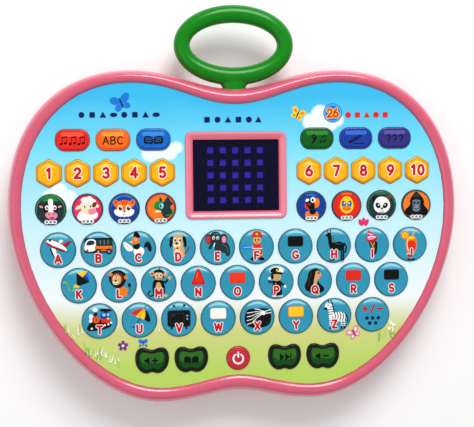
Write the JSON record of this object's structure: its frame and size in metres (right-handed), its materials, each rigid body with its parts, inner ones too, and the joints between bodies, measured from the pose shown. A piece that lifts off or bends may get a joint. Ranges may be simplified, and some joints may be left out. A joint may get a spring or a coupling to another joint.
{
  "type": "toy learning tablet",
  "caption": "Apple-shaped toy learning tablet with sprung picture, letter and number keys, a lit dot screen, a ring handle and a battery bay in its back.",
  "frame": {"origin": "on the surface that the tablet lies on, below the middle of its bounding box", "axes": "+X to the right along the face, +Y up the face towards the ring handle, +Z out of the face"},
  "size_m": [0.24, 0.2114, 0.028],
  "materials": {
    "shell_plastic": "polished moulded shell, pink",
    "printed_film": "printed film with a clear gloss coat",
    "smoked_window": "smoked clear sheet",
    "black_plastic": "fine matt texture",
    "led_lens": "violet-blue lamp lens",
    "board_laminate": "tan paper laminate",
    "chip_resin": "black potting resin",
    "mat_rubber": "grey silicone",
    "speaker_steel": "dark coated steel frame and paper cone",
    "cell_sleeve": "plain printed steel sleeve",
    "contact_steel": "nickel-plated spring steel",
    "screw_steel": "zinc-plated steel",
    "wire_sleeve": "soft insulation",
    "handle_plastic": "polished moulded ring, green",
    "letter_key_plastic": "printed and clear coated, teal",
    "red_key_plastic": "printed and clear coated, red",
    "orange_key_plastic": "printed and clear coated, orange",
    "blue_key_plastic": "printed and clear coated, blue",
    "green_key_plastic": "printed and clear coated, dark green",
    "navy_key_plastic": "printed and clear coated, navy",
    "violet_key_plastic": "printed and clear coated, violet",
    "yellow_key_plastic": "printed and clear coated, yellow to orange",
    "animal_key_plastic": "printed and clear coated, a colour for each animal",
    "apple_key_plastic": "printed and clear coated, deep green",
    "crimson_key_plastic": "printed and clear coated, crimson"
  },
  "bodies": {
    "case": {"front_shell": "shell_plastic", "rear_shell": "shell_plastic", "face_overlay": "printed_film", "screen_window": "smoked_window", "led_mask": "black_plastic", "leds": "led_lens", "circuit_board": "board_laminate", "control_chip": "chip_resin", "key_mat": "mat_rubber", "speaker": "speaker_steel", "battery_cells": "cell_sleeve", "battery_contacts": "contact_steel", "shell_screws": "screw_steel", "board_screws": "screw_steel", "wiring": "wire_sleeve", "handle": "handle_plastic"},
    "battery_door": {"battery_door": "shell_plastic", "door_screws": "screw_steel"},
    "numbers_left": {"numbers_left": "yellow_key_plastic"},
    "numbers_right": {"numbers_right": "yellow_key_plastic"},
    "animals_left": {"animals_left": "animal_key_plastic"},
    "animals_right": {"animals_right": "animal_key_plastic"},
    "key_music": {"key_music": "red_key_plastic"},
    "key_letter": {"key_letter": "orange_key_plastic"},
    "key_word": {"key_word": "blue_key_plastic"},
    "key_singing": {"key_singing": "green_key_plastic"},
    "key_spell": {"key_spell": "navy_key_plastic"},
    "key_asking": {"key_asking": "violet_key_plastic"},
    "key_a": {"key_a": "letter_key_plastic"},
    "key_b": {"key_b": "letter_key_plastic"},
    "key_c": {"key_c": "letter_key_plastic"},
    "key_d": {"key_d": "letter_key_plastic"},
    "key_e": {"key_e": "letter_key_plastic"},
    "key_f": {"key_f": "letter_key_plastic"},
    "key_g": {"key_g": "letter_key_plastic"},
    "key_h": {"key_h": "letter_key_plastic"},
    "key_i": {"key_i": "letter_key_plastic"},
    "key_j": {"key_j": "letter_key_plastic"},
    "key_k": {"key_k": "letter_key_plastic"},
    "key_l": {"key_l": "letter_key_plastic"},
    "key_m": {"key_m": "letter_key_plastic"},
    "key_n": {"key_n": "letter_key_plastic"},
    "key_o": {"key_o": "letter_key_plastic"},
    "key_p": {"key_p": "letter_key_plastic"},
    "key_q": {"key_q": "letter_key_plastic"},
    "key_r": {"key_r": "letter_key_plastic"},
    "key_s": {"key_s": "letter_key_plastic"},
    "key_t": {"key_t": "letter_key_plastic"},
    "key_u": {"key_u": "letter_key_plastic"},
    "key_v": {"key_v": "letter_key_plastic"},
    "key_w": {"key_w": "letter_key_plastic"},
    "key_x": {"key_x": "letter_key_plastic"},
    "key_y": {"key_y": "letter_key_plastic"},
    "key_z": {"key_z": "letter_key_plastic"},
    "key_plus_minus": {"key_plus_minus": "letter_key_plastic"},
    "key_volume_up": {"key_volume_up": "apple_key_plastic"},
    "key_story": {"key_story": "apple_key_plastic"},
    "key_power": {"key_power": "crimson_key_plastic"},
    "key_next": {"key_next": "apple_key_plastic"},
    "key_volume_down": {"key_volume_down": "apple_key_plastic"}
  },
  "joints": [
    {"name": "battery_door_lift", "type": "slide", "parent": "case", "child": "battery_door", "axis": [0, 0, -1], "range_m": [0, 0.03]},
    {"name": "numbers_left_press", "type": "slide", "parent": "case", "child": "numbers_left", "axis": [0, 0, -1], "range_m": [0, 0.0008], "stiffness_N_per_m": 600, "springref_m": -0.002},
    {"name": "numbers_right_press", "type": "slide", "parent": "case", "child": "numbers_right", "axis": [0, 0, -1], "range_m": [0, 0.0008], "stiffness_N_per_m": 600, "springref_m": -0.002},
    {"name": "animals_left_press", "type": "slide", "parent": "case", "child": "animals_left", "axis": [0, 0, -1], "range_m": [0, 0.0008], "stiffness_N_per_m": 600, "springref_m": -0.002},
    {"name": "animals_right_press", "type": "slide", "parent": "case", "child": "animals_right", "axis": [0, 0, -1], "range_m": [0, 0.0008], "stiffness_N_per_m": 600, "springref_m": -0.002},
    {"name": "key_music_press", "type": "slide", "parent": "case", "child": "key_music", "axis": [0, 0, -1], "range_m": [0, 0.0008], "stiffness_N_per_m": 300, "springref_m": -0.002},
    {"name": "key_letter_press", "type": "slide", "parent": "case", "child": "key_letter", "axis": [0, 0, -1], "range_m": [0, 0.0008], "stiffness_N_per_m": 300, "springref_m": -0.002},
    {"name": "key_word_press", "type": "slide", "parent": "case", "child": "key_word", "axis": [0, 0, -1], "range_m": [0, 0.0008], "stiffness_N_per_m": 300, "springref_m": -0.002},
    {"name": "key_singing_press", "type": "slide", "parent": "case", "child": "key_singing", "axis": [0, 0, -1], "range_m": [0, 0.0008], "stiffness_N_per_m": 300, "springref_m": -0.002},
    {"name": "key_spell_press", "type": "slide", "parent": "case", "child": "key_spell", "axis": [0, 0, -1], "range_m": [0, 0.0008], "stiffness_N_per_m": 300, "springref_m": -0.002},
    {"name": "key_asking_press", "type": "slide", "parent": "case", "child": "key_asking", "axis": [0, 0, -1], "range_m": [0, 0.0008], "stiffness_N_per_m": 300, "springref_m": -0.002},
    {"name": "key_a_press", "type": "slide", "parent": "case", "child": "key_a", "axis": [0, 0, -1], "range_m": [0, 0.0008], "stiffness_N_per_m": 300, "springref_m": -0.002},
    {"name": "key_b_press", "type": "slide", "parent": "case", "child": "key_b", "axis": [0, 0, -1], "range_m": [0, 0.0008], "stiffness_N_per_m": 300, "springref_m": -0.002},
    {"name": "key_c_press", "type": "slide", "parent": "case", "child": "key_c", "axis": [0, 0, -1], "range_m": [0, 0.0008], "stiffness_N_per_m": 300, "springref_m": -0.002},
    {"name": "key_d_press", "type": "slide", "parent": "case", "child": "key_d", "axis": [0, 0, -1], "range_m": [0, 0.0008], "stiffness_N_per_m": 300, "springref_m": -0.002},
    {"name": "key_e_press", "type": "slide", "parent": "case", "child": "key_e", "axis": [0, 0, -1], "range_m": [0, 0.0008], "stiffness_N_per_m": 300, "springref_m": -0.002},
    {"name": "key_f_press", "type": "slide", "parent": "case", "child": "key_f", "axis": [0, 0, -1], "range_m": [0, 0.0008], "stiffness_N_per_m": 300, "springref_m": -0.002},
    {"name": "key_g_press", "type": "slide", "parent": "case", "child": "key_g", "axis": [0, 0, -1], "range_m": [0, 0.0008], "stiffness_N_per_m": 300, "springref_m": -0.002},
    {"name": "key_h_press", "type": "slide", "parent": "case", "child": "key_h", "axis": [0, 0, -1], "range_m": [0, 0.0008], "stiffness_N_per_m": 300, "springref_m": -0.002},
    {"name": "key_i_press", "type": "slide", "parent": "case", "child": "key_i", "axis": [0, 0, -1], "range_m": [0, 0.0008], "stiffness_N_per_m": 300, "springref_m": -0.002},
    {"name": "key_j_press", "type": "slide", "parent": "case", "child": "key_j", "axis": [0, 0, -1], "range_m": [0, 0.0008], "stiffness_N_per_m": 300, "springref_m": -0.002},
    {"name": "key_k_press", "type": "slide", "parent": "case", "child": "key_k", "axis": [0, 0, -1], "range_m": [0, 0.0008], "stiffness_N_per_m": 300, "springref_m": -0.002},
    {"name": "key_l_press", "type": "slide", "parent": "case", "child": "key_l", "axis": [0, 0, -1], "range_m": [0, 0.0008], "stiffness_N_per_m": 300, "springref_m": -0.002},
    {"name": "key_m_press", "type": "slide", "parent": "case", "child": "key_m", "axis": [0, 0, -1], "range_m": [0, 0.0008], "stiffness_N_per_m": 300, "springref_m": -0.002},
    {"name": "key_n_press", "type": "slide", "parent": "case", "child": "key_n", "axis": [0, 0, -1], "range_m": [0, 0.0008], "stiffness_N_per_m": 300, "springref_m": -0.002},
    {"name": "key_o_press", "type": "slide", "parent": "case", "child": "key_o", "axis": [0, 0, -1], "range_m": [0, 0.0008], "stiffness_N_per_m": 300, "springref_m": -0.002},
    {"name": "key_p_press", "type": "slide", "parent": "case", "child": "key_p", "axis": [0, 0, -1], "range_m": [0, 0.0008], "stiffness_N_per_m": 300, "springref_m": -0.002},
    {"name": "key_q_press", "type": "slide", "parent": "case", "child": "key_q", "axis": [0, 0, -1], "range_m": [0, 0.0008], "stiffness_N_per_m": 300, "springref_m": -0.002},
    {"name": "key_r_press", "type": "slide", "parent": "case", "child": "key_r", "axis": [0, 0, -1], "range_m": [0, 0.0008], "stiffness_N_per_m": 300, "springref_m": -0.002},
    {"name": "key_s_press", "type": "slide", "parent": "case", "child": "key_s", "axis": [0, 0, -1], "range_m": [0, 0.0008], "stiffness_N_per_m": 300, "springref_m": -0.002},
    {"name": "key_t_press", "type": "slide", "parent": "case", "child": "key_t", "axis": [0, 0, -1], "range_m": [0, 0.0008], "stiffness_N_per_m": 300, "springref_m": -0.002},
    {"name": "key_u_press", "type": "slide", "parent": "case", "child": "key_u", "axis": [0, 0, -1], "range_m": [0, 0.0008], "stiffness_N_per_m": 300, "springref_m": -0.002},
    {"name": "key_v_press", "type": "slide", "parent": "case", "child": "key_v", "axis": [0, 0, -1], "range_m": [0, 0.0008], "stiffness_N_per_m": 300, "springref_m": -0.002},
    {"name": "key_w_press", "type": "slide", "parent": "case", "child": "key_w", "axis": [0, 0, -1], "range_m": [0, 0.0008], "stiffness_N_per_m": 300, "springref_m": -0.002},
    {"name": "key_x_press", "type": "slide", "parent": "case", "child": "key_x", "axis": [0, 0, -1], "range_m": [0, 0.0008], "stiffness_N_per_m": 300, "springref_m": -0.002},
    {"name": "key_y_press", "type": "slide", "parent": "case", "child": "key_y", "axis": [0, 0, -1], "range_m": [0, 0.0008], "stiffness_N_per_m": 300, "springref_m": -0.002},
    {"name": "key_z_press", "type": "slide", "parent": "case", "child": "key_z", "axis": [0, 0, -1], "range_m": [0, 0.0008], "stiffness_N_per_m": 300, "springref_m": -0.002},
    {"name": "key_plus_minus_press", "type": "slide", "parent": "case", "child": "key_plus_minus", "axis": [0, 0, -1], "range_m": [0, 0.0008], "stiffness_N_per_m": 300, "springref_m": -0.002},
    {"name": "key_volume_up_press", "type": "slide", "parent": "case", "child": "key_volume_up", "axis": [0, 0, -1], "range_m": [0, 0.0008], "stiffness_N_per_m": 300, "springref_m": -0.002},
    {"name": "key_story_press", "type": "slide", "parent": "case", "child": "key_story", "axis": [0, 0, -1], "range_m": [0, 0.0008], "stiffness_N_per_m": 300, "springref_m": -0.002},
    {"name": "key_power_press", "type": "slide", "parent": "case", "child": "key_power", "axis": [0, 0, -1], "range_m": [0, 0.0008], "stiffness_N_per_m": 300, "springref_m": -0.002},
    {"name": "key_next_press", "type": "slide", "parent": "case", "child": "key_next", "axis": [0, 0, -1], "range_m": [0, 0.0008], "stiffness_N_per_m": 300, "springref_m": -0.002},
    {"name": "key_volume_down_press", "type": "slide", "parent": "case", "child": "key_volume_down", "axis": [0, 0, -1], "range_m": [0, 0.0008], "stiffness_N_per_m": 300, "springref_m": -0.002}
  ]
}
